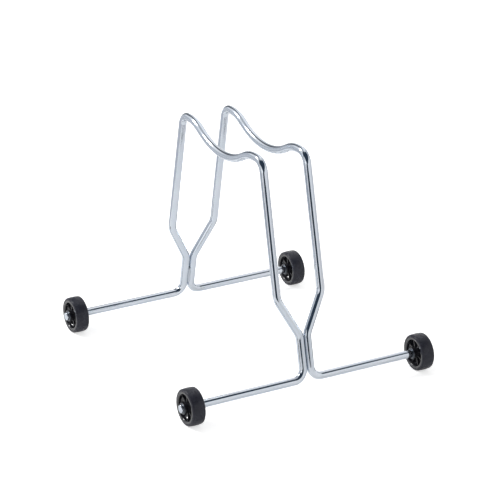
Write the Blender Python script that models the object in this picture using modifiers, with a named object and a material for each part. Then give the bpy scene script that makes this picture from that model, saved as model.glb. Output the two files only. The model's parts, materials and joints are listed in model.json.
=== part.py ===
"""Rolling parking stand for a bicycle.

Two mirrored lengths of plated round rod are bent into hoops and welded together at the foot of
each Y-shaped end. The four ends of the rods run out sideways as axles, and a moulded wheel with a
tyre turns on each of them between two push-on washers. The bicycle's wheel drops between the
hoops and stands in the V of the two Ys.

Units are metres. X runs along the axles, Y runs from the near Y frame to the far one, Z is up and
the floor is at zero.
"""

import math

import bmesh
import bpy
from mathutils import Vector

# Rod stock and the gap that touching pieces keep
ROD_DIAMETER = 0.012
ROD_END_EDGE = 0.0005
TOUCH_GAP = 0.0003

# Foot print of the stand: wheel centre to mid-plane, and axle to mid-plane
WHEEL_CENTRE_X = 0.190
AXLE_Y = 0.1875

# Heights above the axle's centre line
SPLAY_RISE = 0.0635
KNEE_RISE = 0.120
PEAK_RISE = 0.316

# Top rail: level run over each peak, and how far below it the two slopes would meet
PEAK_RUN = 0.037
SLOPE_DROP = 0.0418

# Clear width between the two hoops, where the tyre goes in
GAP_AT_KNEE = 0.0605
GAP_AT_TOP = 0.0590

# Lean of the legs towards the middle
LEG_LEAN = math.radians(12.2)

# Bend radii to the rod's centre line
AXLE_BEND = 0.0165
SPLAY_BEND = 0.024
KNEE_BEND = 0.030
SHOULDER_BEND = 0.019
HUMP_BEND = 0.069
DIP_BEND = 0.133

# Wheel: the tread is level over its middle and falls away by the crown towards each shoulder
WHEEL_DIAMETER = 0.055
WHEEL_WIDTH = 0.0205
TREAD_FLAT = 0.007
TREAD_CROWN = 0.0007
SHOULDER_RADIUS = 0.0026
TYRE_SIDE = 0.0004
RIM_THICKNESS = 0.0039
BOSS_WALL = 0.0020
BOSS_PROJECTION = 0.0018
BORE_CLEARANCE = 0.00035
WEB_THICKNESS = 0.004
RIB_SETBACK = 0.0042
RIB_THICKNESS = 0.0020
RIB_COUNT = 8
POCKET_STEP = 0.0006

# Push-on washers that keep each wheel on its axle, and the bare rod beyond the outer one
WASHER_RING = 0.0020
WASHER_THICKNESS = 0.0015
WASHER_EDGE = 0.0004
ROD_END_PROJECTION = 0.0035

# Weld bead in the groove between the two rods, on the side that faces the other Y
WELD_LENGTH = 0.027
WELD_MIDDLE_RISE = 0.0300
WELD_RADIUS = 0.0024
WELD_SETBACK = 0.0002
WELD_RIPPLES = 9
WELD_RIPPLE_DEPTH = 0.00025
WELD_END_POWER = 6

# Facets
ROD_BEVEL_RESOLUTION = 6
WHEEL_FACETS = 36
WASHER_FACETS = 16
WELD_FACETS = 12
GROOVE_FACETS = 32
SHOULDER_STEPS = 2
POCKET_OUTER_STEPS = 4
POCKET_INNER_STEPS = 2
RING_ANGLE = math.radians(10.0)
SMOOTH_ANGLE = math.radians(40.0)

ROD_RADIUS = ROD_DIAMETER / 2
ROD_SIDES = 2 * ROD_BEVEL_RESOLUTION + 4
AXLE_HEIGHT = WHEEL_DIAMETER / 2
HALF_WIDTH = WHEEL_WIDTH / 2
BOSS_FACE = HALF_WIDTH + BOSS_PROJECTION
WASHER_SEAT = BOSS_FACE + TOUCH_GAP
ROD_CENTRE_X = ROD_RADIUS + TOUCH_GAP / 2
ROD_END_X = WHEEL_CENTRE_X + WASHER_SEAT + WASHER_THICKNESS + ROD_END_PROJECTION
TYRE_BORE_RADIUS = WHEEL_DIAMETER / 2 - TREAD_CROWN - SHOULDER_RADIUS - TYRE_SIDE
RIM_RADIUS = TYRE_BORE_RADIUS - TOUCH_GAP
RECESS_RADIUS = RIM_RADIUS - RIM_THICKNESS
HUB_BORE_RADIUS = ROD_RADIUS + BORE_CLEARANCE
BOSS_RADIUS = HUB_BORE_RADIUS + BOSS_WALL
WASHER_BORE_RADIUS = ROD_RADIUS + TOUCH_GAP
WASHER_RADIUS = WASHER_BORE_RADIUS + WASHER_RING
WELD_OFFSET = ROD_RADIUS - WELD_SETBACK - WELD_RADIUS

# Side along X, end along Y, and how many tyre facets the moulded hub is turned round by
WHEELS = {
    "near_left": (-1, -1, 0),
    "near_right": (1, -1, 2),
    "far_left": (-1, 1, 1),
    "far_right": (1, 1, 3),
}


def clear_objects():
    """Start from an empty scene."""
    for old in list(bpy.data.objects):
        bpy.data.objects.remove(old, do_unlink=True)


def new_collection(name):
    """A collection linked to the scene."""
    group = bpy.data.collections.new(name)
    bpy.context.scene.collection.children.link(group)
    return group


def surface(name, colour, metallic, roughness):
    """A Principled material in one colour, roughness and metallic value."""
    material = bpy.data.materials.new(name)
    material.use_nodes = True
    shader = material.node_tree.nodes["Principled BSDF"]
    shader.inputs["Base Color"].default_value = (*colour, 1.0)
    shader.inputs["Metallic"].default_value = metallic
    shader.inputs["Roughness"].default_value = roughness
    return material


def add_object(name, data, group):
    """An object around a mesh or curve, in a collection."""
    piece = bpy.data.objects.new(name, data)
    group.objects.link(piece)
    return piece


def to_mesh(source, name):
    """The evaluated shape of an object as a welded mesh. The source object is removed."""
    bpy.context.view_layer.update()
    evaluated = source.evaluated_get(bpy.context.evaluated_depsgraph_get())
    mesh = bpy.data.meshes.new_from_object(evaluated)
    mesh.name = name
    work = bmesh.new()
    work.from_mesh(mesh)
    bmesh.ops.remove_doubles(work, verts=work.verts, dist=1e-6)
    work.to_mesh(mesh)
    work.free()
    bpy.data.objects.remove(source, do_unlink=True)
    return mesh


def smooth_mesh(mesh):
    """Shade round faces smooth and keep real edges sharp."""
    mesh.shade_smooth()
    mesh.set_sharp_from_angle(angle=SMOOTH_ANGLE)


def tangent_lengths(corners, radii):
    """Run that each inner corner's arc takes from both sides, kept within the straight runs."""
    halves = []
    for before, corner, after in zip(corners, corners[1:], corners[2:]):
        halves.append((before - corner).angle(after - corner) / 2)
    wanted = [radius / math.tan(half) for radius, half in zip(radii, halves)]
    runs = [(after - before).length for before, after in zip(corners, corners[1:])]
    asked = [first + second for first, second in zip([0.0] + wanted, wanted + [0.0])]
    room = [min(1.0, run / length) for run, length in zip(runs, asked)]
    return [length * min(left, right) for length, left, right in zip(wanted, room, room[1:])]


def rounded_path(corners, radii):
    """Points along straight runs joined by arcs.

    Each inner corner is replaced by an arc of its radius, which touches both runs. An arc has one
    point for each RING_ANGLE that it turns through.
    """
    points = [corners[0]]
    lengths = tangent_lengths(corners, radii)
    for before, corner, after, length in zip(corners, corners[1:], corners[2:], lengths):
        back = (before - corner).normalized()
        ahead = (after - corner).normalized()
        half_opening = back.angle(ahead) / 2
        radius = length * math.tan(half_opening)
        centre = corner + (back + ahead).normalized() * radius / math.sin(half_opening)
        start = corner + back * length - centre
        turn = math.pi - 2 * half_opening
        steps = max(2, math.ceil(turn / RING_ANGLE))
        for step in range(steps + 1):
            angle = turn * step / steps
            points.append(centre + start * math.cos(angle) - back * radius * math.sin(angle))
    points.append(corners[-1])
    return points


def leg_y(rise):
    """Distance of a leg's centre line from the middle, at a height above the axles."""
    return AXLE_Y - rise * math.tan(LEG_LEAN)


def rod_path(side):
    """Centre line of one rod, from its near wheel over the hoop to its far wheel."""
    knee_x = GAP_AT_KNEE / 2 + ROD_RADIUS
    top_x = GAP_AT_TOP / 2 + ROD_RADIUS
    hump_y = leg_y(PEAK_RISE) - PEAK_RUN
    half = [
        (ROD_END_X, AXLE_Y, 0.0),
        (ROD_CENTRE_X, AXLE_Y, 0.0),
        (ROD_CENTRE_X, leg_y(SPLAY_RISE), SPLAY_RISE),
        (knee_x, leg_y(KNEE_RISE), KNEE_RISE),
        (top_x, leg_y(PEAK_RISE), PEAK_RISE),
        (top_x, hump_y, PEAK_RISE),
    ]
    bends = [AXLE_BEND, SPLAY_BEND, KNEE_BEND, SHOULDER_BEND, HUMP_BEND]
    near = [Vector((side * x, -y, AXLE_HEIGHT + z)) for x, y, z in half]
    middle = [Vector((side * top_x, 0.0, AXLE_HEIGHT + PEAK_RISE - SLOPE_DROP))]
    far = [Vector((side * x, y, AXLE_HEIGHT + z)) for x, y, z in reversed(half)]
    return rounded_path(near + middle + far, bends + [DIP_BEND] + bends[::-1])


def build_rod(name, side, group, steel):
    """One bent rod: a round bevel along its centre line, with flat ends whose edge is broken.

    Half a facet of tilt puts a corner of the section on top, so the rod has its full height.
    """
    path = rod_path(side)
    first_edge = (path[1] - path[0]).normalized() * ROD_END_EDGE
    last_edge = (path[-2] - path[-1]).normalized() * ROD_END_EDGE
    path = [path[0], path[0] + first_edge] + path[1:-1] + [path[-1] + last_edge, path[-1]]
    curve = bpy.data.curves.new(name, "CURVE")
    curve.dimensions = "3D"
    curve.twist_mode = "MINIMUM"
    curve.bevel_depth = ROD_RADIUS
    curve.bevel_resolution = ROD_BEVEL_RESOLUTION
    curve.use_fill_caps = True
    spline = curve.splines.new("POLY")
    spline.points.add(len(path) - 1)
    for point, place in zip(spline.points, path):
        point.co = (*place, 1.0)
        point.tilt = math.pi / ROD_SIDES
    for end in (0, -1):
        spline.points[end].radius = 1 - ROD_END_EDGE / ROD_RADIUS
    spline.use_smooth = True
    curve.materials.append(steel)
    return add_object(name, curve, group)


def turned_object(name, profile, facets, group):
    """A closed outline of (radius, height) points turned round the local Z axis."""
    mesh = bpy.data.meshes.new(name)
    count = len(profile)
    edges = [(index, (index + 1) % count) for index in range(count)]
    mesh.from_pydata([(radius, 0.0, height) for radius, height in profile], edges, [])
    piece = add_object(name, mesh, group)
    screw = piece.modifiers.new("Turn", "SCREW")
    screw.axis = "Z"
    screw.steps = facets
    screw.render_steps = facets
    screw.use_merge_vertices = True
    screw.merge_threshold = 1e-5
    screw.use_smooth_shade = False
    return piece


def flat_radius(radius, facets):
    """Corner radius of a polygon whose flats lie at the given radius."""
    return radius / math.cos(math.pi / facets)


def tyre_profile():
    """Crowned tread with rounded shoulders outside, plain bore inside."""
    shoulder_r = WHEEL_DIAMETER / 2 - TREAD_CROWN - SHOULDER_RADIUS
    shoulder_z = HALF_WIDTH - SHOULDER_RADIUS
    upper = [(TYRE_BORE_RADIUS, HALF_WIDTH)]
    for step in range(SHOULDER_STEPS + 1):
        angle = math.pi / 2 * (1 - step / SHOULDER_STEPS)
        upper.append((shoulder_r + SHOULDER_RADIUS * math.cos(angle),
                      shoulder_z + SHOULDER_RADIUS * math.sin(angle)))
    upper.append((WHEEL_DIAMETER / 2, TREAD_FLAT / 2))
    outline = upper + [(radius, -height) for radius, height in reversed(upper)]
    return [(flat_radius(radius, WHEEL_FACETS), height) for radius, height in outline]


def hub_profile():
    """Rim, ribbed web as a solid disc, and boss with its bore."""
    rib_face = HALF_WIDTH - RIB_SETBACK
    upper = [
        (HUB_BORE_RADIUS, BOSS_FACE),
        (BOSS_RADIUS, BOSS_FACE),
        (BOSS_RADIUS, rib_face),
        (RECESS_RADIUS, rib_face),
        (RECESS_RADIUS, HALF_WIDTH),
        (RIM_RADIUS, HALF_WIDTH),
    ]
    lower = [(radius, -height) for radius, height in reversed(upper)]
    return [(flat_radius(radius, WHEEL_FACETS), height) for radius, height in upper + lower]


def pocket_outline(middle_angle):
    """Outline of one pocket between two ribs, whose sides run parallel to the ribs."""
    inner = BOSS_RADIUS + POCKET_STEP
    outer = RECESS_RADIUS - POCKET_STEP
    points = []
    for radius, steps, direction in ((outer, POCKET_OUTER_STEPS, 1), (inner, POCKET_INNER_STEPS, -1)):
        reach = math.pi / RIB_COUNT - math.asin(RIB_THICKNESS / 2 / radius)
        for step in range(steps + 1):
            angle = middle_angle + direction * reach * (2 * step / steps - 1)
            points.append((radius * math.cos(angle), radius * math.sin(angle)))
    return points


def pocket_cutter(name, side, group):
    """All pockets of one wheel face as one mesh: flat outlines extruded to the pocket's depth."""
    low = WEB_THICKNESS / 2
    high = HALF_WIDTH
    curve = bpy.data.curves.new(name, "CURVE")
    curve.dimensions = "2D"
    curve.fill_mode = "BOTH"
    curve.extrude = (high - low) / 2
    for index in range(RIB_COUNT):
        outline = pocket_outline(2 * math.pi * (index + 0.5) / RIB_COUNT)
        spline = curve.splines.new("POLY")
        spline.points.add(len(outline) - 1)
        for point, (x, y) in zip(spline.points, outline):
            point.co = (x, y, 0.0, 1.0)
        spline.use_cyclic_u = True
    mesh = to_mesh(add_object(name, curve, group), name)
    cutter = add_object(name, mesh, group)
    cutter.location.z = side * (low + high) / 2
    cutter.hide_render = True
    cutter.display_type = "WIRE"
    return cutter


def cut(piece, cutter):
    """Subtract a cutter from a piece with a live modifier."""
    boolean = piece.modifiers.new(cutter.name, "BOOLEAN")
    boolean.operation = "DIFFERENCE"
    boolean.solver = "EXACT"
    boolean.object = cutter


def hub_mesh(group, cutters):
    """The moulded hub with pockets between its ribs on both faces."""
    blank = turned_object("hub_blank", hub_profile(), WHEEL_FACETS, group)
    for label, side in (("outer", 1), ("inner", -1)):
        cut(blank, pocket_cutter("pockets_" + label, side, cutters))
    mesh = to_mesh(blank, "hub")
    smooth_mesh(mesh)
    return mesh


def tyre_mesh(group):
    """The tyre on its own."""
    blank = turned_object("tyre_blank", tyre_profile(), WHEEL_FACETS, group)
    mesh = to_mesh(blank, "tyre")
    smooth_mesh(mesh)
    return mesh


def washer_mesh(group):
    """A push-on washer with its outer face at the top, edges broken on that face."""
    outline = [
        (WASHER_BORE_RADIUS, WASHER_THICKNESS),
        (WASHER_RADIUS - WASHER_EDGE, WASHER_THICKNESS),
        (WASHER_RADIUS, WASHER_THICKNESS - WASHER_EDGE),
        (WASHER_RADIUS, 0.0),
        (WASHER_BORE_RADIUS, 0.0),
    ]
    profile = [(flat_radius(radius, WASHER_FACETS), height) for radius, height in outline]
    mesh = to_mesh(turned_object("washer_blank", profile, WASHER_FACETS, group), "washer")
    smooth_mesh(mesh)
    return mesh


def place_on(parent, name, mesh, group, material, height=0.0, turn=0.0, flip=False):
    """A piece on a wheel's axis: parented, at a height along it, turned about it or flipped."""
    piece = add_object(name, mesh, group)
    piece.parent = parent
    piece.location.z = height
    piece.rotation_euler = (math.pi if flip else 0.0, 0.0, turn)
    if not mesh.materials:
        mesh.materials.append(material)
    return piece


def build_wheels(group, cutters, paint):
    """Four wheels, each an empty on its axle with tyre, hub and two washers."""
    hub = hub_mesh(group, cutters)
    tyre = tyre_mesh(group)
    washer = washer_mesh(group)
    facet = 2 * math.pi / WHEEL_FACETS
    for label, (side_x, side_y, turned_facets) in WHEELS.items():
        axis = bpy.data.objects.new(label + "_wheel_axis", None)
        group.objects.link(axis)
        axis.location = (side_x * WHEEL_CENTRE_X, side_y * AXLE_Y, AXLE_HEIGHT)
        axis.rotation_euler.y = side_x * math.pi / 2
        place_on(axis, label + "_tyre", tyre, group, paint["tyre"], turn=facet / 2)
        place_on(axis, label + "_hub", hub, group, paint["hub"], turn=facet * (turned_facets + 0.5))
        place_on(axis, label + "_outer_washer", washer, group, paint["washer"], WASHER_SEAT)
        place_on(axis, label + "_inner_washer", washer, group, paint["washer"], -WASHER_SEAT,
                 flip=True)


def weld_profile():
    """Closed outline of a rippled bead with tapered ends, from its top to its bottom."""
    rings = 2 * WELD_RIPPLES
    outline = [(0.0, WELD_LENGTH / 2)]
    for index in range(1, rings):
        along = 1 - 2 * index / rings
        ripple = WELD_RIPPLE_DEPTH * (1 if index % 2 else -1)
        radius = WELD_RADIUS * math.sqrt(1 - along ** WELD_END_POWER) + ripple
        outline.append((radius, along * WELD_LENGTH / 2))
    outline.append((0.0, -WELD_LENGTH / 2))
    return outline


def groove_cutter(name, side_x, side_y, group):
    """The upright run of one rod, thickened by the touching gap, as a cutter for the bead."""
    bpy.ops.mesh.primitive_cylinder_add(vertices=GROOVE_FACETS, radius=ROD_RADIUS + TOUCH_GAP,
                                        depth=2 * WELD_LENGTH)
    cutter = bpy.context.object
    cutter.name = name
    cutter.location = (side_x * ROD_CENTRE_X, side_y * leg_y(WELD_MIDDLE_RISE),
                       AXLE_HEIGHT + WELD_MIDDLE_RISE)
    cutter.rotation_euler.x = side_y * LEG_LEAN
    for owner in list(cutter.users_collection):
        owner.objects.unlink(cutter)
    group.objects.link(cutter)
    cutter.hide_render = True
    cutter.display_type = "WIRE"
    return cutter


def build_weld(name, side_y, group, cutters, steel):
    """A bead along the groove between the rods, on the face that looks towards the middle."""
    profile = weld_profile()
    mesh = bpy.data.meshes.new(name)
    edges = [(index, index + 1) for index in range(len(profile) - 1)]
    mesh.from_pydata([(radius, 0.0, height) for radius, height in profile], edges, [])
    bead = add_object(name, mesh, group)
    screw = bead.modifiers.new("Turn", "SCREW")
    screw.axis = "Z"
    screw.steps = WELD_FACETS
    screw.render_steps = WELD_FACETS
    screw.use_merge_vertices = True
    screw.merge_threshold = 1e-5
    inward = WELD_OFFSET / math.cos(LEG_LEAN)
    bead.location = (0.0, side_y * (leg_y(WELD_MIDDLE_RISE) - inward),
                     AXLE_HEIGHT + WELD_MIDDLE_RISE)
    bead.rotation_euler.x = side_y * LEG_LEAN
    for label, side_x in (("left", -1), ("right", 1)):
        cut(bead, groove_cutter(name + "_groove_" + label, side_x, side_y, cutters))
    mesh.materials.append(steel)
    return bead


def main():
    """Build the whole stand."""
    clear_objects()
    parts = new_collection("bike_parking_stand")
    cutters = new_collection("cutters")
    paint = {
        "rod": surface("plated_steel", (0.62, 0.66, 0.72), 1.0, 0.22),
        "weld": surface("plated_weld", (0.55, 0.57, 0.62), 1.0, 0.45),
        "tyre": surface("black_tyre", (0.035, 0.035, 0.038), 0.0, 0.75),
        "hub": surface("black_moulding", (0.06, 0.06, 0.065), 0.0, 0.45),
        "washer": surface("blackened_washer", (0.12, 0.12, 0.13), 1.0, 0.40),
    }
    build_rod("left_rod", -1, parts, paint["rod"])
    build_rod("right_rod", 1, parts, paint["rod"])
    build_weld("near_weld", -1, parts, cutters, paint["weld"])
    build_weld("far_weld", 1, parts, cutters, paint["weld"])
    build_wheels(parts, cutters, paint)


main()
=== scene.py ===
# %% [markdown]
# # A rolling parking stand for a bicycle
#
# The real stand is two lengths of bright plated rod, bent alike, mirrored and welded together
# where they meet, on four small moulded wheels. Its working shape comes packed, as faceted solids
# that carry the joints. This script loads those solids as a fixed frame and never moves them. It
# lays a finer surface of the same size over each one, gives it the finish of the real material,
# and lights it as a product is lit for a catalogue.

import json

import bmesh
import bpy
import numpy as np
from mathutils import Matrix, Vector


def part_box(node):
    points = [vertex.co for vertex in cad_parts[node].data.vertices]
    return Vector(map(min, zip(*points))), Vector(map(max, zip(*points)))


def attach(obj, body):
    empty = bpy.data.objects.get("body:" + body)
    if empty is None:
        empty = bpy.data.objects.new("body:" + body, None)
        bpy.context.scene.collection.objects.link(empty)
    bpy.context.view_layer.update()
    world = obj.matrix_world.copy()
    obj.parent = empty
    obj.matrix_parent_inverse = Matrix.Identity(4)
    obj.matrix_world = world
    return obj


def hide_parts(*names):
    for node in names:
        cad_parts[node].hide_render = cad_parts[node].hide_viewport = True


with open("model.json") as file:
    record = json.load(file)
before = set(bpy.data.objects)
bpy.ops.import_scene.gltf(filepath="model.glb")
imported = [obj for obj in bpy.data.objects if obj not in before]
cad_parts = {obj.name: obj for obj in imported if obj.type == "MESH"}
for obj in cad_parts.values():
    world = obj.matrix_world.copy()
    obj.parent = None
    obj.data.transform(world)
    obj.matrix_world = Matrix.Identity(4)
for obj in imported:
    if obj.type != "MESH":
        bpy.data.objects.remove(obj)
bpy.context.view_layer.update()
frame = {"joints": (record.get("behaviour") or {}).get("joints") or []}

# %% [markdown]
# ## Two helpers for materials
#
# A colour is given as an sRGB hex code, as a screen shows it, but light adds up in linear values,
# so one function converts between the two. Another adds a shader node. Both could be left to
# Blender's own calls, but then each material below would be three times as long to read.

# %% Colours and nodes
GAMMA_TOE = 0.04045


def linear(code):
    """An sRGB hex code as linear RGB.

    A channel at or below 0.04045 is divided by 12.92. Above it, 0.055 is added, the sum is
    divided by 1.055 and raised to the power 2.4.
    """
    channel = np.array([int(code[at:at + 2], 16) for at in (1, 3, 5)]) / 255
    return np.where(channel <= GAMMA_TOE, channel / 12.92, ((channel + 0.055) / 1.055) ** 2.4)


def opaque(code):
    """The same colour as the four numbers that a colour socket takes."""
    return (*linear(code), 1.0)


def add_node(tree, kind, settings=None, inputs=None):
    """Add a node, set its properties, and give each input a value or a link from a socket."""
    node = tree.nodes.new("ShaderNode" + kind)
    for name, value in (settings or {}).items():
        setattr(node, name, value)
    for name, value in (inputs or {}).items():
        if isinstance(value, bpy.types.NodeSocket):
            tree.links.new(value, node.inputs[name])
        else:
            node.inputs[name].default_value = value
    return node


def new_material(name):
    """A material with nothing but its output node, for a finish to be built in."""
    material = bpy.data.materials.new(name)
    material.use_nodes = True
    material.node_tree.nodes.clear()
    return material, material.node_tree


def finish_with(tree, shader):
    """Join a shader to the material's output."""
    add_node(tree, "OutputMaterial", {}, {"Surface": shader})


print("white in linear values:", linear("#FFFFFF"))

# %% [markdown]
# ## The camera
#
# The photograph was taken with a long lens from a good three metres, a little above the stand and
# to its left. The viewing angle was worked out from the straight runs of the rods: parallel runs
# give the direction, and the difference in size between near and far wheels gives the distance.
# The camera is placed by those angles and not by hand, so that both pictures can be laid over
# each other. The picture is taken to be 500 pixels square.

# %% Camera
CAMERA_PLACE = (-1.6184, -2.9241, 1.5023)
CAMERA_AZIMUTH = np.radians(-29.114)
CAMERA_ELEVATION = np.radians(21.868)
CAMERA_ROLL = np.radians(-0.200)
CAMERA_LENS = 175.25
SENSOR_WIDTH = 36.0


def camera_matrix(place, azimuth, elevation, roll):
    """The camera's matrix, whose columns are its right, its up, its back and its place.

    Back points from the object to the camera. Right is square to it and level, up is square to
    both, and the roll turns those two about back.
    """
    back = np.array([np.sin(azimuth) * np.cos(elevation),
                     -np.cos(azimuth) * np.cos(elevation),
                     np.sin(elevation)])
    level = np.array([np.cos(azimuth), np.sin(azimuth), 0.0])
    upright = np.cross(back, level)
    right = np.cos(roll) * level + np.sin(roll) * upright
    up = np.cos(roll) * upright - np.sin(roll) * level
    matrix = np.eye(4)
    matrix[:3] = np.column_stack([right, up, back, place])
    return matrix


scene = bpy.context.scene
camera = bpy.data.objects.new("camera", bpy.data.cameras.new("camera"))
camera.data.lens = CAMERA_LENS
camera.data.sensor_width = SENSOR_WIDTH
camera.matrix_world = Matrix(
    camera_matrix(CAMERA_PLACE, CAMERA_AZIMUTH, CAMERA_ELEVATION, CAMERA_ROLL))
scene.collection.objects.link(camera)
scene.camera = camera
scene.view_settings.view_transform = "Standard"
print("camera at", CAMERA_PLACE)

# %% [markdown]
# ## Surfaces from a grid of points
#
# Most surfaces here are a rule with two parameters, such as the distance along a rod and the
# angle round it. The rule is worked out for a whole grid of points at once with numpy, and one
# function turns the grid into a mesh. A direction that comes back to its start, such as the angle
# round a tube, is closed by joining the last column to the first. A row whose points all fall
# together is a pole, and merging them closes it. Primitives with modifiers could make these
# shapes too, but a rule keeps every radius a named size.

# %% Grid of points to mesh
MERGE_DISTANCE = 1e-7


def grid_mesh(name, points, rows_close=False):
    """A mesh from points[row, column, xyz], with the columns closed round.

    Each face joins point (r, c) to its neighbours (r, c + 1), (r + 1, c + 1) and (r + 1, c), with
    the last column joined to the first, and the last row too where the rows close.
    """
    rows, columns = points.shape[:2]
    index = np.arange(rows * columns).reshape(rows, columns)
    beside = np.roll(index, -1, axis=1)
    here, there = (index, np.roll(index, -1, axis=0)) if rows_close else (index[:-1], index[1:])
    here_beside, there_beside = (
        (beside, np.roll(beside, -1, axis=0)) if rows_close else (beside[:-1], beside[1:])
    )
    faces = np.stack([here, here_beside, there_beside, there], axis=-1).reshape(-1, 4)
    mesh = bpy.data.meshes.new(name)
    mesh.from_pydata(points.reshape(-1, 3), [], faces)
    return mesh


def close_poles(mesh):
    """Merge points that fall together, which closes poles, and turn the faces outwards."""
    work = bmesh.new()
    work.from_mesh(mesh)
    bmesh.ops.remove_doubles(work, verts=work.verts, dist=MERGE_DISTANCE)
    bmesh.ops.recalc_face_normals(work, faces=work.faces)
    work.to_mesh(mesh)
    work.free()
    mesh.shade_smooth()


def show(mesh, material):
    """An object around a finished mesh, at the origin, with its material."""
    piece = bpy.data.objects.new(mesh.name, mesh)
    mesh.materials.append(material)
    scene.collection.objects.link(piece)
    return piece


def unit(vectors):
    """Vectors divided by their own length."""
    return vectors / np.linalg.norm(vectors, axis=-1, keepdims=True)


print("points merge within, in millimetres:", 1000 * MERGE_DISTANCE)

# %% [markdown]
# ## The floor and the white background
#
# In the photograph the stand is on pure white. Here a wide pale floor carries it and takes its
# shadow, and behind the floor's edge the world is white. A floor lit by the lamps alone comes out
# a light grey, so it gives off some light of its own to rays from the camera. The rays that metal
# reflects get less of it, because in the photograph the rods mirror a floor that is pale grey. The
# light that falls on the object stays plain: only what is seen is made white.

# %% Floor and world
FLOOR_RADIUS = 9.0
FLOOR_SIDES = 96
FLOOR_GLOW = 0.66
MIRRORED_GLOW = 0.26
DOME_STRENGTH = 0.42


def seen_level(tree, direct, mirrored):
    """One value for rays from the camera, another for rays that gloss or glass sends on, else 0."""
    rays = add_node(tree, "LightPath")
    bounced = add_node(tree, "Math", {"operation": "ADD", "use_clamp": True},
                       {0: rays.outputs["Is Glossy Ray"], 1: rays.outputs["Is Transmission Ray"]})
    straight = add_node(tree, "Math", {"operation": "MULTIPLY"},
                        {0: rays.outputs["Is Camera Ray"], 1: direct})
    both = add_node(tree, "Math", {"operation": "MULTIPLY_ADD"},
                    {0: bounced.outputs[0], 1: mirrored, 2: straight.outputs[0]})
    return both.outputs[0]


def floor_material():
    """Matt white studio board, which glows a little for the rays that are seen."""
    material, tree = new_material("white_studio_board")
    board = add_node(tree, "BsdfDiffuse", {}, {"Color": opaque("#F6F6F6")})
    glow = add_node(tree, "Emission", {}, {"Strength": seen_level(tree, FLOOR_GLOW, MIRRORED_GLOW)})
    both = add_node(tree, "AddShader", {}, {0: board.outputs[0], 1: glow.outputs[0]})
    finish_with(tree, both.outputs[0])
    return material


def white_world():
    """White for rays that are seen, and a softer dome of light for everything else."""
    world = bpy.data.worlds.new("white_world")
    world.use_nodes = True
    tree = world.node_tree
    tree.nodes.clear()
    dome = add_node(tree, "Background", {}, {"Color": opaque("#FFFFFF"), "Strength": DOME_STRENGTH})
    white = add_node(tree, "Background", {}, {"Color": opaque("#FFFFFF"), "Strength": 1.0})
    either = add_node(tree, "MixShader", {},
                      {0: seen_level(tree, 1.0, 1.0), 1: dome.outputs[0], 2: white.outputs[0]})
    add_node(tree, "OutputWorld", {}, {"Surface": either.outputs[0]})
    return world


turn = np.linspace(0, 2 * np.pi, FLOOR_SIDES, endpoint=False)
rim = np.column_stack([np.cos(turn), np.sin(turn), 0 * turn]) * FLOOR_RADIUS
floor_mesh = bpy.data.meshes.new("floor")
floor_mesh.from_pydata(rim, [], [list(range(FLOOR_SIDES))])
floor = show(floor_mesh, floor_material())
scene.world = white_world()
print("floor radius in metres:", FLOOR_RADIUS)

# %% [markdown]
# ## Soft light, and something dark to reflect
#
# Bright plated rod shows little but its surroundings. In an evenly white room it would turn flat
# grey, so a studio leaves the camera's end of the room dark, and that dark end is what draws the
# navy lines along the rods. Two softboxes stand behind the stand, with a strong lamp inside the
# left one, and a dim backdrop with a darker stripe hangs between them, which draws the grey line
# along the rails. Pale walls and sheets on the floor fill the sides. Lamps could do this too, but a
# lamp is only a light, and here each light is also a shape that the metal mirrors, so they are
# cards: patches of a sphere round the stand, or of the floor. Their edges fade, because a hard edge
# would show as a hard line on the rods. The camera doesn't see them, so they can't stand in the
# way of any other view, and only the softboxes and the lamp light the object.

# %% Light cards
CARD_CENTRE = np.array([0.0, 0.0, 0.15])
CARD_STEPS = 33


def dome_patch(distance, bearings, low, high):
    """Points at one distance, over a range of bearings, between two elevations.

    The bearing is counted from +Y towards +X. low and high give the elevation of the two edges
    as functions of the bearing, in degrees. A point lies at centre + distance * (sin(bearing) *
    cos(elevation), cos(bearing) * cos(elevation), sin(elevation)).
    """
    across, upward = np.meshgrid(np.linspace(*bearings, CARD_STEPS), np.linspace(0, 1, CARD_STEPS))
    elevation = np.radians(low(across) + (high(across) - low(across)) * upward)
    bearing = np.radians(across)
    return CARD_CENTRE + distance * np.stack([np.sin(bearing) * np.cos(elevation),
                                              np.cos(bearing) * np.cos(elevation),
                                              np.sin(elevation)], axis=-1)


def floor_patch(bearings, near, far, height):
    """Points at a small height over the floor, over a range of bearings, between two distances."""
    across, outward = np.meshgrid(np.linspace(*bearings, CARD_STEPS), np.linspace(near, far, CARD_STEPS))
    bearing = np.radians(across)
    return np.stack([outward * np.sin(bearing), outward * np.cos(bearing),
                     np.full_like(outward, height)], axis=-1)


def fade(tree, place, share):
    """1 inside a card and 0 at its edge, along one side, over a share of its length.

    It is the smaller of the distances to both ends, over the share, eased by 3t^2 - 2t^3.
    """
    far = add_node(tree, "Math", {"operation": "SUBTRACT"}, {0: 1.0, 1: place})
    edge = add_node(tree, "Math", {"operation": "MINIMUM"}, {0: place, 1: far.outputs[0]})
    eased = add_node(tree, "MapRange", {"interpolation_type": "SMOOTHSTEP"},
                     {"Value": edge.outputs[0], "From Max": share})
    return eased.outputs[0]


def card_finish(name, colour, strength, across, upward):
    """An even glow that fades to clear at the card's edges. At strength 1, white is pure white."""
    material, tree = new_material(name)
    kept = add_node(tree, "Attribute", {"attribute_name": "card_place"})
    place = add_node(tree, "SeparateXYZ", {}, {0: kept.outputs["Vector"]})
    solid = add_node(tree, "Math", {"operation": "MULTIPLY"}, {
        0: fade(tree, place.outputs["X"], across), 1: fade(tree, place.outputs["Y"], upward)})
    glow = add_node(tree, "Emission", {}, {"Color": opaque(colour), "Strength": strength})
    clear = add_node(tree, "BsdfTransparent")
    shown = add_node(tree, "MixShader", {},
                     {0: solid.outputs[0], 1: clear.outputs[0], 2: glow.outputs[0]})
    finish_with(tree, shown.outputs[0])
    return material


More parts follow.
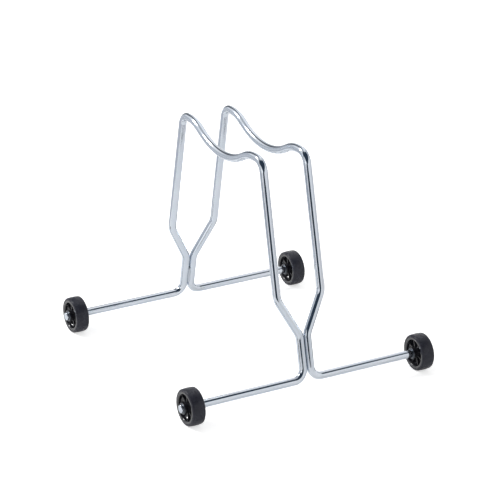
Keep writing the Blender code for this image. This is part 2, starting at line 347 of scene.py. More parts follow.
def card(name, points, colour, fades, strength=1.0, lights=False):
    """A sheet through a grid of points. One that lights nothing is only mirrored.

    Each vertex keeps its place on the card, from 0 to 1 across and upward, for the fading edges.
    """
    index = np.arange(CARD_STEPS ** 2).reshape(CARD_STEPS, CARD_STEPS)
    faces = np.stack([index[:-1, :-1], index[:-1, 1:], index[1:, 1:], index[1:, :-1]], axis=-1)
    mesh = bpy.data.meshes.new(name)
    mesh.from_pydata(points.reshape(-1, 3), [], faces.reshape(-1, 4))
    upward, across = np.meshgrid(*[np.linspace(0, 1, CARD_STEPS)] * 2, indexing="ij")
    kept = mesh.attributes.new("card_place", "FLOAT_VECTOR", "POINT")
    place = np.stack([across, upward, 0 * across], axis=-1)
    kept.data.foreach_set("vector", place.astype(np.float32).ravel())
    made = show(mesh, card_finish(name, colour, strength, *fades))
    made.visible_camera = False
    made.visible_diffuse = lights
    made.visible_shadow = lights


def level(elevation):
    """An edge at one elevation all along."""
    return lambda bearing: np.full_like(bearing, elevation)


print("points on each card:", CARD_STEPS ** 2)

# %% The studio
DARK_EDGE_BEARINGS = (92, 120, 150, 165, 182, 200, 216, 240, 255, 290)
DARK_EDGE_ELEVATIONS = (55, 41, 32, 28, 14, 1, 0, 20, 26, 20)
NAVY, DEEP_NAVY = "#333F4D", "#2E3A48"
CHARCOAL, MID_GREY, DIM_GREY = "#3C4049", "#9499A1", "#90969E"
PALE_GREY, PALE_WALL, FLOOR_GREY, CEILING_GREY = "#D2D4D8", "#D2D5DA", "#D2D4D9", "#CACCD0"
WHITE = "#FFFFFF"
LAMP_STRENGTH = 36.0
SHEET_HEIGHT = 0.003
STRIP_HEIGHT = 0.006


def dark_edge(bearing):
    """Lower edge of the dark end: down to the floor in the middle, and rising towards both sides."""
    return np.interp(bearing, DARK_EDGE_BEARINGS, DARK_EDGE_ELEVATIONS)


# A dome patch has its distance in metres, its bearings, and its lower and upper edge in degrees.
# A floor patch has its bearings, and its near and far edge in metres. The colour follows, then the
# share of the card's width and of its height over which it fades, then how strongly it glows.
card("dark_end", dome_patch(2.6, (92, 290), dark_edge, level(84)), NAVY, (0.10, 0.06))
card("dark_threshold", dome_patch(1.0, (183, 231), level(-8.4), level(12)), DEEP_NAVY, (0.16, 0.03))
card("dark_sheet", floor_patch((184, 226), 0.70, 2.4, SHEET_HEIGHT), NAVY, (0.24, 0.10))
card("left_softbox", dome_patch(3.6, (288, 343), level(24), level(56)), WHITE, (0.24, 0.30), 1.08, True)
card("left_lamp", dome_patch(3.4, (302, 327), level(34), level(51)), WHITE, (0.35, 0.35),
     LAMP_STRENGTH, True)
card("right_softbox", dome_patch(2.0, (26, 74), level(26), level(72)), WHITE, (0.20, 0.15), 1.15, True)
card("side_window", dome_patch(2.4, (234, 256), level(-2), level(18)), WHITE, (0.30, 0.30), 1.9)
card("ceiling", dome_patch(3.8, (270, 372), level(56), level(90)), CEILING_GREY, (0.08, 0.10))
card("dim_backdrop", dome_patch(2.2, (338, 392), level(-3.8), level(72)), MID_GREY, (0.42, 0.16))
card("dark_stripe", dome_patch(2.1, (345, 380), level(6), level(89)), CHARCOAL, (0.48, 0.20))
card("left_wall", dome_patch(1.4, (262, 352), level(-6), level(26)), PALE_WALL, (0.08, 0.20))
card("right_wall", dome_patch(1.9, (62, 118), level(8), level(64)), PALE_GREY, (0.20, 0.20))
card("grey_sheet", floor_patch((256, 352), 0.40, 1.6, SHEET_HEIGHT), FLOOR_GREY, (0.10, 0.08))
card("dim_strip", floor_patch((264, 292), 0.70, 2.4, STRIP_HEIGHT), DIM_GREY, (0.30, 0.20))

# %% [markdown]
# ## The centre line of a rod
#
# One rod starts at its near wheel, runs in along the floor, turns up beside its twin, splays
# outwards at the top of the Y, straightens into the leg, and goes over the hoop: a tight
# shoulder, a hump, a long shallow dip, and the same again in mirror image. A bender makes such a
# rod as straight runs with round bends, so the line is given as the corners where the runs would
# meet, with a bend radius for each. A curve object with handles would be quicker to draw, but its
# bends would not be true arcs.

# %% Sizes of the rods
ROD_RADIUS = 0.006
TWIN_GAP = 0.0003
AXLE_Y = 0.1875
AXLE_HEIGHT = 0.0275
ROD_END_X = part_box("right_rod")[1].x
SPLAY_RISE = 0.0635
KNEE_RISE = 0.120
PEAK_RISE = 0.316
PEAK_RUN = 0.037
SLOPE_DROP = 0.0418
GAP_AT_KNEE = 0.0605
GAP_AT_TOP = 0.0590
LEG_LEAN = np.radians(12.2)
HALF_BENDS = [0.0165, 0.024, 0.030, 0.019, 0.069]
DIP_BEND = 0.133

BEND_STEP = np.radians(2.5)
RUN_STEP = 0.008


def leg_y(rise):
    """Distance of a leg from the middle at a height above the axles, less as it leans in."""
    return AXLE_Y - rise * np.tan(LEG_LEAN)


def rod_corners(side):
    """Where the straight runs of one rod would meet, from its near wheel to its far one."""
    twin_x = ROD_RADIUS + TWIN_GAP / 2
    knee_x = GAP_AT_KNEE / 2 + ROD_RADIUS
    top_x = GAP_AT_TOP / 2 + ROD_RADIUS
    half = np.array([
        (ROD_END_X, AXLE_Y, 0.0),
        (twin_x, AXLE_Y, 0.0),
        (twin_x, leg_y(SPLAY_RISE), SPLAY_RISE),
        (knee_x, leg_y(KNEE_RISE), KNEE_RISE),
        (top_x, leg_y(PEAK_RISE), PEAK_RISE),
        (top_x, leg_y(PEAK_RISE) - PEAK_RUN, PEAK_RISE),
    ])
    middle = np.array([(top_x, 0.0, PEAK_RISE - SLOPE_DROP)])
    whole = np.concatenate([half * (1, -1, 1), middle, half[::-1]])
    return whole * (side, 1, 1) + (0, 0, AXLE_HEIGHT)


def rounded_line(corners, radii):
    """Straight runs joined by true arcs.

    At a corner the arc's centre lies on the bisector, at radius / sin(half the opening). Its two
    ends lie on the runs, at radius / tan(half the opening) from the corner. A point of the arc is
    centre + cos(angle) * first spoke - sin(angle) * radius * direction back along the first run.
    """
    parts = [corners[:1]]
    for before, corner, after, radius in zip(corners, corners[1:], corners[2:], radii):
        back, ahead = unit(before - corner), unit(after - corner)
        half = np.arccos(back @ ahead) / 2
        centre = corner + unit(back + ahead) * radius / np.sin(half)
        start = corner + back * radius / np.tan(half)
        angle = np.linspace(0, np.pi - 2 * half, int((np.pi - 2 * half) / BEND_STEP) + 2)[:, None]
        arc = centre + np.cos(angle) * (start - centre) - np.sin(angle) * radius * back
        parts += [run_between(parts[-1][-1], start), arc]
    parts += [run_between(parts[-1][-1], corners[-1]), corners[-1:]]
    return np.concatenate(parts)


def run_between(start, end):
    """Points inside a straight run, evenly spaced, without its two ends."""
    count = int(np.linalg.norm(end - start) / RUN_STEP) + 2
    return start + (end - start) * np.linspace(0, 1, count)[1:-1, None]


lines = {side: rounded_line(rod_corners(side), HALF_BENDS + [DIP_BEND] + HALF_BENDS[::-1])
         for side in (-1, 1)}
length = np.linalg.norm(np.diff(lines[1], axis=0), axis=1).sum()
print("one rod before bending, in millimetres:", round(1000 * length))

# %% [markdown]
# ## From line to rod
#
# A round section is carried along the line. At each point two directions square to the line are
# needed, and they must not jump from one point to the next. A direction that the rod never runs
# along, laid square to the line at every point, gives them without any bookkeeping. The cut ends
# are flat, with an edge rounded to about 1 mm, as a saw and a deburring wheel leave them. Each
# vertex also remembers where it would be if the rod were still straight, because the drawing marks
# and the plating follow the rod round its bends.

# %% Carry a round section along a line
ROD_SIDES = 64
END_EDGE = 0.0009
END_STEPS = 8
FLAT_SHARES = np.array([0.0, 0.5, 0.97])
NEVER_ALONG = np.array([1.0, 0.6, -0.6])


def end_rows():
    """Radius and inset of the rows that close one end, from its centre to its side.

    The flat face runs out to the radius less the edge. The edge is a quarter circle: its radius
    grows with sin(angle) and its inset with 1 - cos(angle).
    """
    angle = np.linspace(0, np.pi / 2, END_STEPS)
    flat = FLAT_SHARES * (ROD_RADIUS - END_EDGE)
    radius = np.concatenate([flat, ROD_RADIUS - END_EDGE + END_EDGE * np.sin(angle)])
    inset = np.concatenate([0 * flat, END_EDGE * (1 - np.cos(angle))])
    return radius, inset


def rod_mesh(name, line):
    """A round bar along a line.

    Point (i, j) is centre[i] + radius[i] * (cos(angle[j]) * across[i] + sin(angle[j]) * over[i]).
    Across is the fixed direction made square to the line, and over is square to both.
    """
    step = np.diff(line, axis=0)
    run = np.concatenate([[0.0], np.cumsum(np.linalg.norm(step, axis=1))])
    heading = unit(step)
    ahead = unit(np.concatenate([heading[:1], heading[:-1] + heading[1:], heading[-1:]]))
    radius, inset = end_rows()
    ends = len(radius)
    centre = np.concatenate([line[0] + ahead[0] * inset[:, None], line[1:-1],
                             line[-1] - ahead[-1] * inset[::-1, None]])
    along = np.concatenate([inset, run[1:-1], run[-1] - inset[::-1]])
    radius = np.concatenate([radius, np.full(len(line) - 2, ROD_RADIUS), radius[::-1]])
    ahead = np.concatenate([np.repeat(ahead[:1], ends, 0), ahead[1:-1], np.repeat(ahead[-1:], ends, 0)])
    across = unit(NEVER_ALONG - (ahead @ NEVER_ALONG)[:, None] * ahead)
    over = np.cross(ahead, across)
    angle = np.linspace(0, 2 * np.pi, ROD_SIDES, endpoint=False)
    section = (np.cos(angle)[None, :, None] * across[:, None]
               + np.sin(angle)[None, :, None] * over[:, None])
    mesh = grid_mesh(name, centre[:, None] + radius[:, None, None] * section)
    straight = np.stack(np.broadcast_arrays(along[:, None], radius[:, None] * np.cos(angle),
                                            radius[:, None] * np.sin(angle)), axis=-1)
    kept = mesh.attributes.new("straight_rod", "FLOAT_VECTOR", "POINT")
    kept.data.foreach_set("vector", straight.astype(np.float32).ravel())
    close_poles(mesh)
    return mesh


print("rod diameter in millimetres:", 2000 * ROD_RADIUS)

# %% [markdown]
# ## Bright zinc plating
#
# The rods are drawn steel with a bright zinc plating, passivated blue. Zinc mirrors its
# surroundings with a cool tint, a little softer than chrome. Three marks of how it was made are
# drawn on it. Drawing through a die leaves hair lines along the rod, about 0.2 mm apart. The bath
# leaves a faint orange peel, about 2 mm across. The passivation varies from bluish to slightly
# warm over a few centimetres. The lines and the peel are bump and the clouding is colour and
# roughness, because none of them changes the outline. All three are laid out on the straight rod.

# %% Plated steel
MILLIMETRE = 0.001
HAIR_LINE_WIDTH = 0.2 * MILLIMETRE
HAIR_LINE_LENGTH = 40 * MILLIMETRE
HAIR_LINE_DEPTH = 0.002 * MILLIMETRE
PEEL_SIZE = 2 * MILLIMETRE
PEEL_DEPTH = 0.004 * MILLIMETRE
CLOUD_LENGTH = 60 * MILLIMETRE
CLOUD_WIDTH = 12 * MILLIMETRE


def stretched_noise(tree, vector, sizes, detail):
    """Noise whose features have the given sizes along the three axes, in metres."""
    placed = add_node(tree, "Mapping", {}, {"Vector": vector, "Scale": [1 / size for size in sizes]})
    return add_node(tree, "TexNoise", {}, {"Vector": placed.outputs[0], "Scale": 1.0, "Detail": detail})


def mixed_colours(tree, factor, first, second):
    """A colour between two, by a factor."""
    mix = add_node(tree, "Mix", {"data_type": "RGBA"}, {0: factor, 6: opaque(first), 7: opaque(second)})
    return mix.outputs[2]


def between(tree, factor, low, high):
    """A factor spread over the range from low to high."""
    spread = add_node(tree, "MapRange", {}, {"Value": factor, "To Min": low, "To Max": high})
    return spread.outputs[0]


def zinc_plating():
    """Bright zinc over drawn steel rod."""
    material, tree = new_material("bright_zinc_on_drawn_rod")
    straight = add_node(tree, "Attribute", {"attribute_name": "straight_rod"}).outputs["Vector"]
    drawn = stretched_noise(tree, straight, (HAIR_LINE_LENGTH, HAIR_LINE_WIDTH, HAIR_LINE_WIDTH), 2)
    peel = stretched_noise(tree, straight, (PEEL_SIZE,) * 3, 1)
    cloud = stretched_noise(tree, straight, (CLOUD_LENGTH, CLOUD_WIDTH, CLOUD_WIDTH), 3)
    colour = mixed_colours(tree, cloud.outputs["Fac"], "#C6D0DC", "#D6DAE0")
    roughness = between(tree, cloud.outputs["Fac"], 0.06, 0.12)
    hairs = add_node(tree, "Bump", {}, {"Strength": 0.5, "Distance": HAIR_LINE_DEPTH,
                                        "Height": drawn.outputs["Fac"]})
    surface = add_node(tree, "Bump", {}, {"Strength": 0.5, "Distance": PEEL_DEPTH,
                                          "Height": peel.outputs["Fac"], "Normal": hairs.outputs[0]})
    shader = add_node(tree, "BsdfPrincipled", {}, {
        "Base Color": colour, "Metallic": 1.0, "Roughness": roughness, "Normal": surface.outputs[0],
    })
    finish_with(tree, shader.outputs[0])
    return material


plating = zinc_plating()
print("finish:", plating.name)

# %% The two rods
for label, side in (("left", -1), ("right", 1)):
    node = label + "_rod"
    rod = show(rod_mesh(label + "_bent_rod", lines[side]), plating)
    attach(rod, "frame")
    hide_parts(node)
    print(rod.name, len(rod.data.polygons), "faces")

# %% [markdown]
# ## The weld beads
#
# Where the twin rods run side by side, one bead fills the groove between them, on the face of
# each Y that looks towards the middle of the stand. A welder lays it as a row of small
# overlapping pools, and the plating covers it. In section the bead is a disc that the two rods
# bite into, so its radius in any direction is the smaller of two lengths: the bead's own radius,
# which ripples along it and closes at its ends, and the distance to the nearer rod. A displaced
# cylinder would look alike, but it would run into the rods.

# %% Weld beads
WELD_LENGTH = 0.027
WELD_MIDDLE_RISE = 0.0300
WELD_RADIUS = 0.0024
WELD_SETBACK = 0.0002
WELD_OFFSET = ROD_RADIUS - WELD_SETBACK - WELD_RADIUS
WELD_END_POWER = 6
POOL_LENGTH = 0.0029
POOL_RELIEF = 0.0003
POOL_CURVE = 0.0011
SLOW_DRIFT, SLOW_DRIFT_LENGTH = 0.06, 0.0041
QUICK_DRIFT, QUICK_DRIFT_LENGTH = 0.04, 0.0017
WELD_ROWS = 220
WELD_COLUMNS = 72
WELD_GRAIN = 0.5 * MILLIMETRE
WELD_GRAIN_DEPTH = 0.04 * MILLIMETRE
WELD_CLOUD = 4 * MILLIMETRE


def pool_radius(rise, angle):
    """The bead's own radius: pools that bulge and meet in narrow, curved notches.

    The phase is the rise, plus the curve times the squared cosine of the angle, over the pool's
    length, so each notch is a crescent. The radius is a half ellipse of a high power along the
    bead, less the relief times one minus the absolute sine of the phase. Two slow waves let the
    width drift, as a hand does.
    """
    end = np.sqrt(np.maximum(1 - (2 * rise / WELD_LENGTH) ** WELD_END_POWER, 0))
    phase = np.pi * (rise + POOL_CURVE * np.cos(angle) ** 2) / POOL_LENGTH
    drift = (SLOW_DRIFT * np.sin(rise / SLOW_DRIFT_LENGTH)
             + QUICK_DRIFT * np.sin(rise / QUICK_DRIFT_LENGTH + 1))
    return end * WELD_RADIUS * (1 + drift) - end * POOL_RELIEF * (1 - np.abs(np.sin(phase)))


def distance_to_twin(angle):
    """Distance from the bead's centre to the nearer rod, in each direction of the section.

    With the rod's centre at c and the direction d, it is d.c - sqrt((d.c)^2 - c.c + R^2), and
    without limit where the line misses the rod.
    """
    centre = np.array([ROD_RADIUS + TWIN_GAP / 2, -WELD_OFFSET])
    towards = np.abs(np.cos(angle)) * centre[0] + np.sin(angle) * centre[1]
    inside = towards ** 2 - centre @ centre + ROD_RADIUS ** 2
    reach = towards - np.sqrt(np.maximum(inside, 0))
    return np.where((inside > 0) & (towards > 0), reach, np.inf)


def weld_mesh(name, side_y):
    """A bead along the groove: its axis leans with the legs, and its section is cut by the rods."""
    rise = WELD_LENGTH / 2 * np.sin(np.linspace(-np.pi / 2, np.pi / 2, WELD_ROWS))[:, None]
    angle = np.linspace(0, 2 * np.pi, WELD_COLUMNS, endpoint=False)[None, :]
    radius = np.minimum(pool_radius(rise, angle), distance_to_twin(angle))
    offset = WELD_OFFSET / np.cos(LEG_LEAN)
    inward = radius * np.sin(angle)
    x = radius * np.cos(angle)
    y = leg_y(WELD_MIDDLE_RISE) - offset - inward * np.cos(LEG_LEAN) - rise * np.sin(LEG_LEAN)
    z = AXLE_HEIGHT + WELD_MIDDLE_RISE - inward * np.sin(LEG_LEAN) + rise * np.cos(LEG_LEAN)
    mesh = grid_mesh(name, np.stack([x, side_y * y, z], axis=-1))
    close_poles(mesh)
    return mesh


def plated_weld():
    """An unground weld bead under zinc: duller than the rod, with a fine grain of spatter."""
    material, tree = new_material("zinc_on_weld_bead")
    place = add_node(tree, "TexCoord").outputs["Object"]
    grain = stretched_noise(tree, place, (WELD_GRAIN,) * 3, 3)
    cloud = stretched_noise(tree, place, (WELD_CLOUD,) * 3, 2)
    colour = mixed_colours(tree, cloud.outputs["Fac"], "#AEB6C0", "#D2D7DD")
    bump = add_node(tree, "Bump", {}, {"Strength": 0.6, "Distance": WELD_GRAIN_DEPTH,
                                       "Height": grain.outputs["Fac"]})
    shader = add_node(tree, "BsdfPrincipled", {}, {
        "Base Color": colour, "Metallic": 1.0,
        "Roughness": between(tree, grain.outputs["Fac"], 0.22, 0.42), "Normal": bump.outputs[0],
    })
    finish_with(tree, shader.outputs[0])
    return material


weld_finish = plated_weld()
for label, side_y in (("near", -1), ("far", 1)):
    bead = show(weld_mesh(label + "_weld_bead", side_y), weld_finish)
    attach(bead, "frame")
    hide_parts(label + "_weld")
    print(bead.name, len(bead.data.polygons), "faces")

# %% [markdown]
# ## Turned pieces
#
# Tyres and washers are round about the axle, so each is a closed outline carried once round the
# axis. The outline is given by its corners and a radius for each, and every corner becomes a true
# arc, because no moulded or pressed edge is sharp and it is the small round edges that catch the
# light. Two points are kept close beside each arc, so that smooth shading stays on the edge and
# doesn't spill over the flats. The wheels stand where the joints are, so their places are read
# from the frame and not typed again.

# %% Turned pieces and their places
TURNED_SIDES = 144
ARC_STEPS = 8
HOLD = 0.12 * MILLIMETRE

wheels = {joint["child"].removesuffix("_wheel"): np.array(joint["pos_m"]) for joint in frame["joints"]}


def rounded_outline(corners, radii):
    """A closed outline with an arc at each corner, as points (radius, height).

    The arc is built as for the rods. Beside it, a hold point lies on each run, a short way off.
    """
    corners = np.array(corners)
    parts = []
    neighbours = zip(np.roll(corners, 1, 0), corners, np.roll(corners, -1, 0), radii)
    for before, corner, after, radius in neighbours:
        back, ahead = unit(before - corner), unit(after - corner)
        half = np.arccos(back @ ahead) / 2
        centre = corner + unit(back + ahead) * radius / np.sin(half)
        reach = radius / np.tan(half)
        angle = np.linspace(0, np.pi - 2 * half, ARC_STEPS)[:, None]
        arc = centre + np.cos(angle) * (corner + back * reach - centre) - np.sin(angle) * radius * back
        parts += [[corner + back * (reach + HOLD)], arc, [corner + ahead * (reach + HOLD)]]
    return np.concatenate(parts)


def on_wheel(radius, angle, height, place):
    """Points given by radius, angle and height about a wheel's axle, in the stand's own frame.

    The height is counted outwards, away from the middle of the stand.
    """
    outward = np.sign(place[0])
    x = place[0] + outward * height
    y = place[1] + radius * np.sin(angle)
    z = place[2] - outward * radius * np.cos(angle)
    return np.stack(np.broadcast_arrays(x, y, z), axis=-1)


def turned_mesh(name, outline, place):
    """A closed outline carried round the axle."""
    angle = np.linspace(0, 2 * np.pi, TURNED_SIDES, endpoint=False)[None, :]
    points = on_wheel(outline[:, :1], angle, outline[:, 1:], place)
    mesh = grid_mesh(name, points, rows_close=True)
    close_poles(mesh)
    return mesh


low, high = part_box("near_left_tyre")
HALF_WIDTH = (high.x - low.x) / 2
WHEEL_RADIUS = (high.y - low.y) / 2
print("wheel diameter in millimetres:", round(2000 * WHEEL_RADIUS, 1))
print("wheel width in millimetres:", round(2000 * HALF_WIDTH, 1))

# %% [markdown]
# ## Rubber tyres
#
# Each tyre is a plain band of black rubber, moulded on the hub. Its tread is crowned: it stands
# highest in the middle and falls away towards large rounded shoulders, so the wheel turns aside
# easily under load. In the outline the crown is one very blunt corner in the middle of the tread,
# with a large radius. The rubber is smooth, with the fine grain of a blasted mould, and new, so
# it has neither wear nor dirt, only a slight bloom that dulls it in patches. The grain is about
# 0.4 mm and the bloom about 9 mm across. A sheen that grows at grazing angles comes from the
# shader's own gloss.

# %% Tyres
TREAD_CROWN = 0.0007
SHOULDER_RADIUS = 0.0026
TYRE_SIDE = 0.0004
CROWN_REACH = 0.0065
BORE_EDGE = 0.00015
SEAT = 0.00005
RUBBER_GRAIN = 0.4 * MILLIMETRE
RUBBER_GRAIN_DEPTH = 0.02 * MILLIMETRE
RUBBER_BLOOM = 9 * MILLIMETRE
RIM_RADIUS = WHEEL_RADIUS - TREAD_CROWN - SHOULDER_RADIUS - TYRE_SIDE - TWIN_GAP


def crown_corner():
    """Height of the blunt corner over the tread, the radius that rounds it, and the runs' slope.

    The runs fall at a slope that gives the crown at the shoulder. An arc that touches them at the
    crown's reach has the radius reach / sin(slope), and its top lies radius * (1 / cos(slope) - 1)
    under the corner.
    """
    slope = np.arctan(2 * TREAD_CROWN / (HALF_WIDTH - SHOULDER_RADIUS + CROWN_REACH))
    radius = CROWN_REACH / np.sin(slope)
    return radius * (1 / np.cos(slope) - 1), radius, np.tan(slope)


def moulded_rubber():
    """Black tyre rubber from a blasted mould."""
    material, tree = new_material("moulded_black_rubber")
    place = add_node(tree, "TexCoord").outputs["Object"]
    grain = stretched_noise(tree, place, (RUBBER_GRAIN,) * 3, 3)
    bloom = stretched_noise(tree, place, (RUBBER_BLOOM,) * 3, 4)
    colour = mixed_colours(tree, bloom.outputs["Fac"], "#2C2D36", "#3B3C46")
    bump = add_node(tree, "Bump", {}, {"Strength": 0.5, "Distance": RUBBER_GRAIN_DEPTH,
                                       "Height": grain.outputs["Fac"]})
    shader = add_node(tree, "BsdfPrincipled", {}, {
        "Base Color": colour, "IOR": 1.52, "Specular IOR Level": 0.20,
        "Roughness": between(tree, bloom.outputs["Fac"], 0.20, 0.34), "Normal": bump.outputs[0],
    })
    finish_with(tree, shader.outputs[0])
    return material


rubber = moulded_rubber()
corner_rise, crown_radius, crown_slope = crown_corner()
peak = WHEEL_RADIUS + corner_rise
tread_end = peak - HALF_WIDTH * crown_slope
tyre_outline = rounded_outline(
    [(RIM_RADIUS + SEAT, HALF_WIDTH), (tread_end, HALF_WIDTH), (peak, 0.0),
     (tread_end, -HALF_WIDTH), (RIM_RADIUS + SEAT, -HALF_WIDTH)],
    [BORE_EDGE, SHOULDER_RADIUS, crown_radius, SHOULDER_RADIUS, BORE_EDGE])
print("crown radius in millimetres:", round(1000 * crown_radius))
for label, place in wheels.items():
    tyre = show(turned_mesh(label + "_rubber_tyre", tyre_outline, place), rubber)
    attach(tyre, label + "_wheel")
    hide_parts(label + "_tyre")
    print(tyre.name, len(tyre.data.polygons), "faces")

# %% [markdown]
# ## Moulded hubs
#
# A hub is one moulding: a rim, a thin web halfway through it, ribs on both sides of the web, and
# a boss round the axle that stands a little proud of the rim. Both faces are height fields over
# the same rays and circles: web, rib, rim and boss are four levels. The walls of ribs and boss are
# smooth steps. The recess wall is what catches the light in the photograph, so it has the true
# form of a moulded one: a foot that curves up from the web, a short run with draft, and a round
# lip, above which the rim's face is nearly flat. The glints in the photograph are wide, so the
# foot bends less than a round would. The rays bend to follow the parallel sides of the ribs, so the
# walls stay clean. Cutting pockets with Booleans would give the same plan, but with sharp edges
# that catch no light.

# %% Hub sizes and height field
RIM_THICKNESS = 0.0039
BOSS_WALL = 0.0020
RUNNING_CLEARANCE = 0.00035
BORE_RADIUS = ROD_RADIUS + RUNNING_CLEARANCE
BOSS_FACE = (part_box("near_left_hub")[1].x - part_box("near_left_hub")[0].x) / 2
WEB_HALF = 0.002
RIB_SETBACK = 0.0042
RIB_THICKNESS = 0.0020
RIB_COUNT = 8
WALL_RUN = 0.0007
EDGE_RADIUS = 0.0004
RIM_DISH = 0.0001
LIP_RADIUS = 0.0019
FOOT_RUN = 0.0030
FOOT_RISE = 0.0033
FOOT_BEND = 1.6
DRAFT_RUN = 0.0003
RECESS_RADIUS = RIM_RADIUS - RIM_THICKNESS
BOSS_RADIUS = BORE_RADIUS + BOSS_WALL
# The wheels have rolled, so each has its first rib at another angle, in degrees.
FIRST_RIB = {"near_left": 5, "near_right": 25, "far_left": 15, "far_right": 35}


def smooth_step(distance):
    """0 below a wall, 1 above it, and 3t^2 - 2t^3 across its run, from the distance to its middle."""
    t = np.clip(distance / WALL_RUN + 0.5, 0, 1)
    return t * t * (3 - 2 * t)


def edge_drop(distance, radius):
    """How far a rounded edge has dropped at a distance inside it: R - sqrt(R^2 - (R - d)^2)."""
    short = np.clip(radius - distance, 0, radius)
    return radius - np.sqrt(radius ** 2 - short ** 2)


def foot_height(distance):
    """Height of the wall's foot over the web, at a distance inside the wall.

    It is rise * (1 - distance / run) ^ bend: a bend of 1 gives a flat slope and 2 a parabola.
    """
    return FOOT_RISE * np.clip(1 - distance / FOOT_RUN, 0, 1) ** FOOT_BEND


def face_height(radius, from_rib):
    """Height of a hub's face over its middle plane, from radius and distance to a rib's middle.

    The web rises to a rib by a smooth step, and both rise to the boss by another. The recess wall
    is a curved foot, a straight run with draft, and a round lip, above which the rim's face
    slopes up evenly to the tyre.
    """
    rib_level = HALF_WIDTH - RIB_SETBACK
    low = WEB_HALF + (rib_level - WEB_HALF) * smooth_step(RIB_THICKNESS / 2 - from_rib)
    low = low + (BOSS_FACE - low) * smooth_step(BOSS_RADIUS - radius)
    beyond = radius - RECESS_RADIUS
    foot = np.maximum(low, WEB_HALF + foot_height(-DRAFT_RUN - beyond))
    rim = HALF_WIDTH - RIM_DISH * (RIM_RADIUS - radius) / RIM_THICKNESS
    lip = rim - edge_drop(beyond, LIP_RADIUS)
    up_wall = np.clip(beyond / DRAFT_RUN + 1, 0, 1)
    height = foot + (lip - foot) * up_wall
    bore_edge = edge_drop(radius - BORE_RADIUS, EDGE_RADIUS)
    rim_edge = edge_drop(RIM_RADIUS - radius, EDGE_RADIUS)
    return height - bore_edge - rim_edge


print("recess radius in millimetres:", round(1000 * RECESS_RADIUS, 2))

# %% Rays and circles of a hub
EDGE_CIRCLES = 7
BOSS_TOP_CIRCLES = 4
BOSS_WALL_CIRCLES = 13
WEB_CIRCLES = 12
FOOT_CIRCLES = 17
LIP_CIRCLES = 11
RIM_CIRCLES = 6
RIB_TOP_RAYS = 3
RIB_WALL_RAYS = 11
POCKET_RAYS = 8


def circles():
    """Radii from bore to rim, close together over each wall and each rounded edge."""
    quarter = EDGE_RADIUS * (1 - np.cos(np.linspace(0, np.pi / 2, EDGE_CIRCLES)))
    boss = BOSS_RADIUS + WALL_RUN * np.linspace(-0.5, 0.5, BOSS_WALL_CIRCLES)
    foot = FOOT_RUN * np.linspace(1, 0, FOOT_CIRCLES)
    lip = LIP_RADIUS * (1 - np.cos(np.linspace(0, np.pi / 2, LIP_CIRCLES)))
    recess = RECESS_RADIUS + np.concatenate([-DRAFT_RUN - foot, lip])
    return np.concatenate([
        BORE_RADIUS + quarter,
        np.linspace(BORE_RADIUS + EDGE_RADIUS, boss[0], BOSS_TOP_CIRCLES)[1:-1],
        boss,
        np.linspace(boss[-1], recess[0], WEB_CIRCLES)[1:-1],
        recess,
        np.linspace(recess[-1], RIM_RADIUS - EDGE_RADIUS, RIM_CIRCLES)[1:-1],
        RIM_RADIUS - quarter[::-1],
    ])


def rays(radius, first_rib):
    """Angle and distance to the nearest rib for every ray, at every radius.

    Near a rib, a ray keeps one distance d from the rib's middle, so its angle is arcsin(d / r).
    Over a pocket the rays share out the angle that is left, up to the pocket's middle.
    """
    edge = RIB_THICKNESS / 2 + WALL_RUN / 2
    near = np.concatenate([np.linspace(0, RIB_THICKNESS / 2 - WALL_RUN / 2, RIB_TOP_RAYS)[:-1],
                           RIB_THICKNESS / 2 + WALL_RUN * np.linspace(-0.5, 0.5, RIB_WALL_RAYS)])
    beside_rib = np.arcsin(near / radius[:, None])
    pocket = np.arcsin(edge / radius)[:, None]
    share = np.linspace(0, 1, POCKET_RAYS)[1:]
    over_pocket = pocket + (np.pi / RIB_COUNT - pocket) * share
    half = np.concatenate([beside_rib, over_pocket], axis=1)
    sector = np.concatenate([-half[:, :0:-1], half[:, :-1]], axis=1)
    starts = first_rib + 2 * np.pi / RIB_COUNT * np.arange(RIB_COUNT)
    angle = (starts[None, :, None] + sector[:, None, :]).reshape(len(radius), -1)
    from_rib = np.tile(np.abs(radius[:, None] * np.sin(sector)), (1, RIB_COUNT))
    return angle, from_rib


def hub_mesh(name, place, first_rib):
    """A hub: its outer face from bore to rim, and its inner face back from rim to bore, closed."""
    radius = circles()
    angle, from_rib = rays(radius, first_rib)
    height = face_height(radius[:, None], from_rib)
    outer = on_wheel(radius[:, None], angle, height, place)
    inner = on_wheel(radius[:, None], angle, -height, place)
    mesh = grid_mesh(name, np.concatenate([outer, inner[::-1]]), rows_close=True)
    close_poles(mesh)
    return mesh


print("circles on each face of a hub:", len(circles()))

# %% [markdown]
# ## Glossy black plastic
#
# The hub is black polypropylene, injection moulded in a polished mould. It is far glossier than
# the rubber, and puts a bright glint of the lamp on the foot of the recess wall. A fine grain of
# about 0.3 mm keeps it from looking like glass, and where the plastic flowed it is a touch greyer,
# in cells of about 7 mm.

# %% Hubs
PLASTIC_GRAIN = 0.3 * MILLIMETRE
PLASTIC_GRAIN_DEPTH = 0.008 * MILLIMETRE
PLASTIC_FLOW = 7 * MILLIMETRE


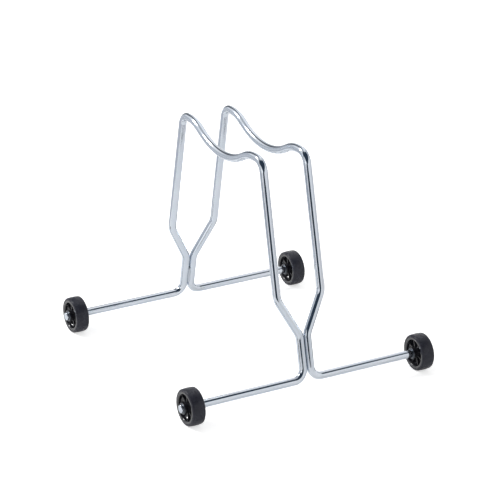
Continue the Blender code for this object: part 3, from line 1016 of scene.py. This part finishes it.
def moulded_plastic():
    """Black polypropylene from a polished mould."""
    material, tree = new_material("moulded_black_polypropylene")
    place = add_node(tree, "TexCoord").outputs["Object"]
    grain = stretched_noise(tree, place, (PLASTIC_GRAIN,) * 3, 2)
    flow = stretched_noise(tree, place, (PLASTIC_FLOW,) * 3, 3)
    colour = mixed_colours(tree, flow.outputs["Fac"], "#1B1B21", "#25252B")
    bump = add_node(tree, "Bump", {}, {"Strength": 0.4, "Distance": PLASTIC_GRAIN_DEPTH,
                                       "Height": grain.outputs["Fac"]})
    shader = add_node(tree, "BsdfPrincipled", {}, {
        "Base Color": colour, "IOR": 1.55, "Specular IOR Level": 0.75,
        "Roughness": between(tree, flow.outputs["Fac"], 0.08, 0.15), "Normal": bump.outputs[0],
    })
    finish_with(tree, shader.outputs[0])
    return material


plastic = moulded_plastic()
for label, place in wheels.items():
    hub = show(hub_mesh(label + "_moulded_hub", place, np.radians(FIRST_RIB[label])), plastic)
    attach(hub, label + "_wheel")
    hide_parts(label + "_hub")
    print(hub.name, len(hub.data.polygons), "faces")

# %% [markdown]
# ## Push-on washers
#
# A wheel is kept on its axle by a pressed steel washer on each side, pushed along the rod until
# it grips. They are turned outlines like the tyres, because a ring of steel has no detail that a
# modifier would give sooner. The steel is blackened with phosphate and oil, a dark grey, slightly
# rough metal finish. Its crystals are too fine to show, so they are drawn about 0.3 mm across.

# %% Washers
WASHER_EDGE = 0.0005
WASHER_FINE_EDGE = WASHER_EDGE / 3
CRYSTAL_SIZE = 0.3 * MILLIMETRE
CRYSTAL_DEPTH = 0.01 * MILLIMETRE


def blackened_steel():
    """Phosphated and oiled spring steel."""
    material, tree = new_material("blackened_spring_steel")
    place = add_node(tree, "TexCoord").outputs["Object"]
    crystal = stretched_noise(tree, place, (CRYSTAL_SIZE,) * 3, 2)
    colour = mixed_colours(tree, crystal.outputs["Fac"], "#4D4F54", "#676A70")
    bump = add_node(tree, "Bump", {}, {"Strength": 0.4, "Distance": CRYSTAL_DEPTH,
                                       "Height": crystal.outputs["Fac"]})
    shader = add_node(tree, "BsdfPrincipled", {}, {
        "Base Color": colour, "Metallic": 1.0,
        "Roughness": between(tree, crystal.outputs["Fac"], 0.28, 0.42), "Normal": bump.outputs[0],
    })
    finish_with(tree, shader.outputs[0])
    return material


phosphate = blackened_steel()
for label, place in wheels.items():
    for which, direction in (("outer", 1), ("inner", -1)):
        node = f"{label}_{which}_washer"
        low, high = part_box(node)
        thickness = high.x - low.x
        seat = abs((high.x + low.x) / 2 - place[0]) - thickness / 2
        bore = ROD_RADIUS + SEAT
        outer = (high.z - low.z) / 2
        outline = rounded_outline(
            [(bore, seat + thickness), (outer, seat + thickness), (outer, seat), (bore, seat)],
            [WASHER_FINE_EDGE, WASHER_EDGE, WASHER_FINE_EDGE, WASHER_FINE_EDGE]) * (1, direction)
        washer = show(turned_mesh(f"{label}_{which}_push_washer", outline, place), phosphate)
        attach(washer, "frame")
        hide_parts(node)
print("washers:", 2 * len(wheels))
